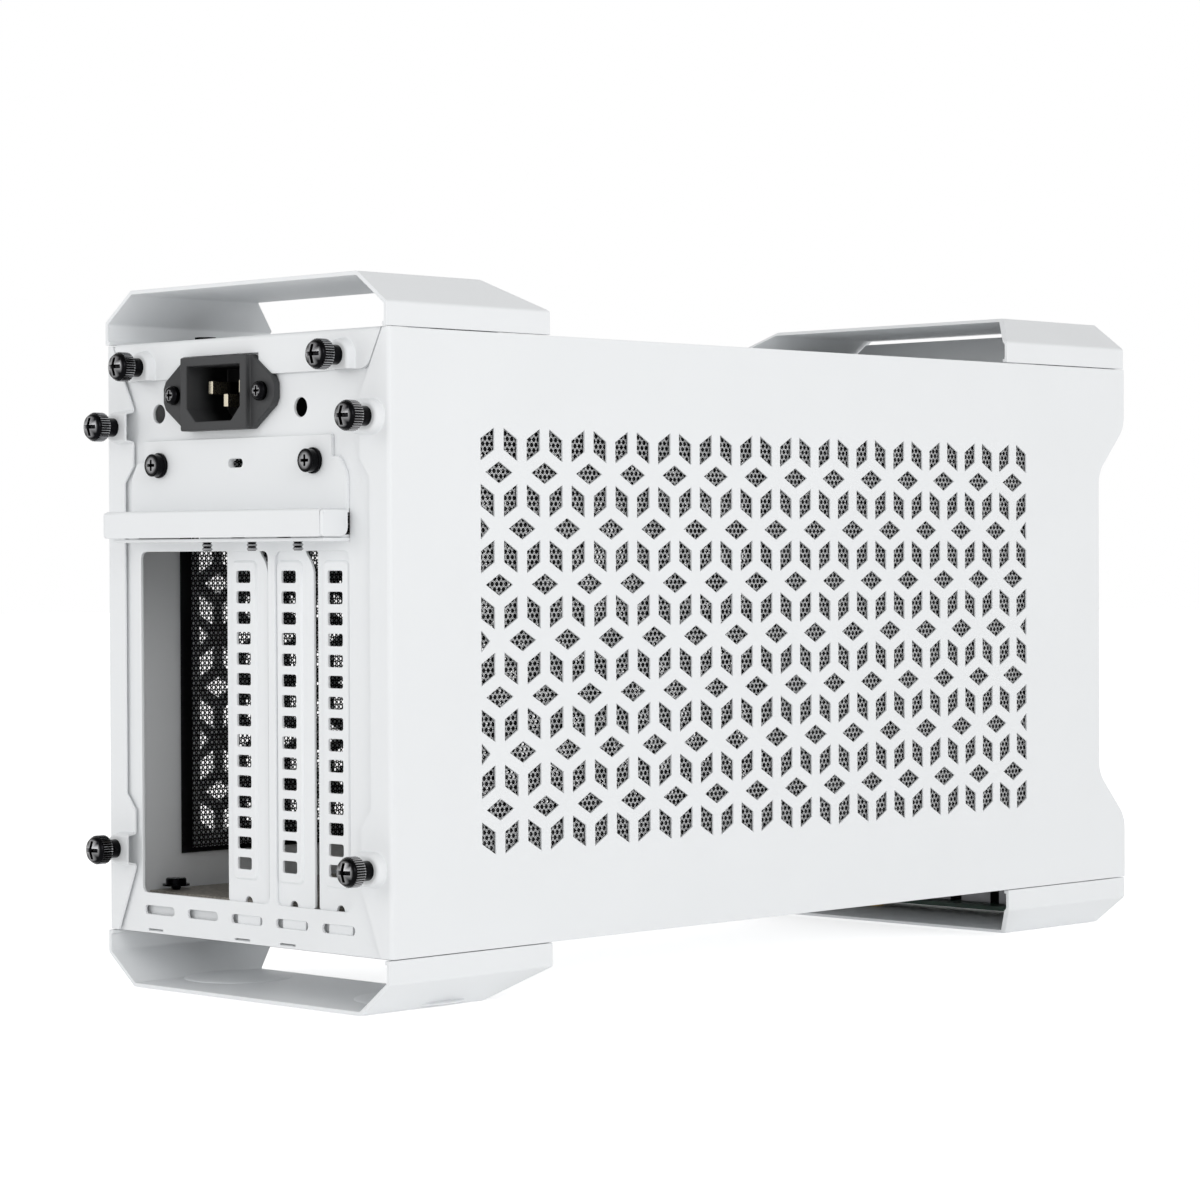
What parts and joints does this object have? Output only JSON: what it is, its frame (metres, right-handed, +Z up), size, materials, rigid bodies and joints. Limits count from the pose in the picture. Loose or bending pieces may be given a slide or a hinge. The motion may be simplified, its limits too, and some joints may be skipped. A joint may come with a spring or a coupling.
{
  "type": "small computer case",
  "caption": "Slim upright white sheet-metal computer case with bridge handles and feet, perforated sides, expansion slots, a mains inlet and hand-turned screws that free its panels.",
  "frame": {"origin": "on the floor, under the middle of the whole object's box", "axes": "+Z up, +Y towards the rear panel, -X the side seen in the picture"},
  "size_m": [0.128, 0.361, 0.2111],
  "materials": {
    "white_coat": "satin white powder coat",
    "black_plastic": "matt black moulding",
    "black_steel": "black plated steel",
    "dust_mesh": "black etched mesh",
    "bare_steel": "bare zinc-coated sheet",
    "pin_metal": "nickel plate",
    "post_brass": "turned",
    "circuit_board": "dark solder mask"
  },
  "bodies": {
    "chassis": {"rear_panel": "white_coat", "bottom_tray": "white_coat", "front_frame": "white_coat", "top_rail_left": "white_coat", "top_rail_right": "white_coat", "base_plate": "bare_steel", "base_plate_screws": "black_steel", "rear_foot": "white_coat", "front_foot": "white_coat", "foot_screws": "black_steel", "slot_cover_3": "white_coat", "slot_cover_4": "white_coat", "slot_cover_5": "white_coat", "slot_screws": "black_steel", "slot_hood": "white_coat", "hood_screws": "black_steel", "inlet_body": "black_plastic", "inlet_pins": "pin_metal", "inlet_screws": "black_steel", "front_panel": "white_coat", "io_board": "circuit_board", "board_posts": "post_brass", "board_screws": "black_steel", "usb_port_left": "pin_metal", "usb_port_right": "pin_metal", "usb_c_port": "pin_metal", "audio_jack": "black_plastic", "power_switch": "black_plastic"},
    "top_cover_set": {"top_cover": "white_coat", "rear_handle": "white_coat", "front_handle": "white_coat", "handle_screws": "black_steel"},
    "side_left": {"side_panel_left": "white_coat", "side_mesh_left": "dust_mesh"},
    "side_right": {"side_panel_right": "white_coat", "side_mesh_right": "dust_mesh"},
    "power_button": {"power_button": "white_coat"},
    "thumbscrew_left_lower": {"thumbscrew_left_lower": "black_steel"},
    "thumbscrew_left_upper": {"thumbscrew_left_upper": "black_steel"},
    "thumbscrew_right_lower": {"thumbscrew_right_lower": "black_steel"},
    "thumbscrew_right_upper": {"thumbscrew_right_upper": "black_steel"},
    "thumbscrew_top_left": {"thumbscrew_top_left": "black_steel"},
    "thumbscrew_top_right": {"thumbscrew_top_right": "black_steel"}
  },
  "joints": [
    {"name": "top_cover_set_pull", "type": "slide", "parent": "chassis", "child": "top_cover_set", "axis": [0, 1, 0], "range_m": [0, 0.012]},
    {"name": "side_left_pull", "type": "slide", "parent": "chassis", "child": "side_left", "axis": [0, 1, 0], "range_m": [0, 0.012]},
    {"name": "side_right_pull", "type": "slide", "parent": "chassis", "child": "side_right", "axis": [0, 1, 0], "range_m": [0, 0.012]},
    {"name": "thumbscrew_left_lower_turn", "type": "hinge", "parent": "side_left", "child": "thumbscrew_left_lower", "pos_m": [-0.0572, 0.168, 0.0418], "axis": [0, 1, 0], "continuous": true},
    {"name": "thumbscrew_left_upper_turn", "type": "hinge", "parent": "side_left", "child": "thumbscrew_left_upper", "pos_m": [-0.0572, 0.168, 0.1698], "axis": [0, 1, 0], "continuous": true},
    {"name": "thumbscrew_right_lower_turn", "type": "hinge", "parent": "side_right", "child": "thumbscrew_right_lower", "pos_m": [0.0572, 0.168, 0.0418], "axis": [0, 1, 0], "continuous": true},
    {"name": "thumbscrew_right_upper_turn", "type": "hinge", "parent": "side_right", "child": "thumbscrew_right_upper", "pos_m": [0.0572, 0.168, 0.1698], "axis": [0, 1, 0], "continuous": true},
    {"name": "thumbscrew_top_left_turn", "type": "hinge", "parent": "top_cover_set", "child": "thumbscrew_top_left", "pos_m": [-0.045, 0.168, 0.1875], "axis": [0, 1, 0], "continuous": true},
    {"name": "thumbscrew_top_right_turn", "type": "hinge", "parent": "top_cover_set", "child": "thumbscrew_top_right", "pos_m": [0.045, 0.168, 0.1875], "axis": [0, 1, 0], "continuous": true},
    {"name": "power_button_press", "type": "slide", "parent": "chassis", "child": "power_button", "axis": [0, 1, 0], "range_m": [0, 0.0012], "stiffness_N_per_m": 900}
  ]
}
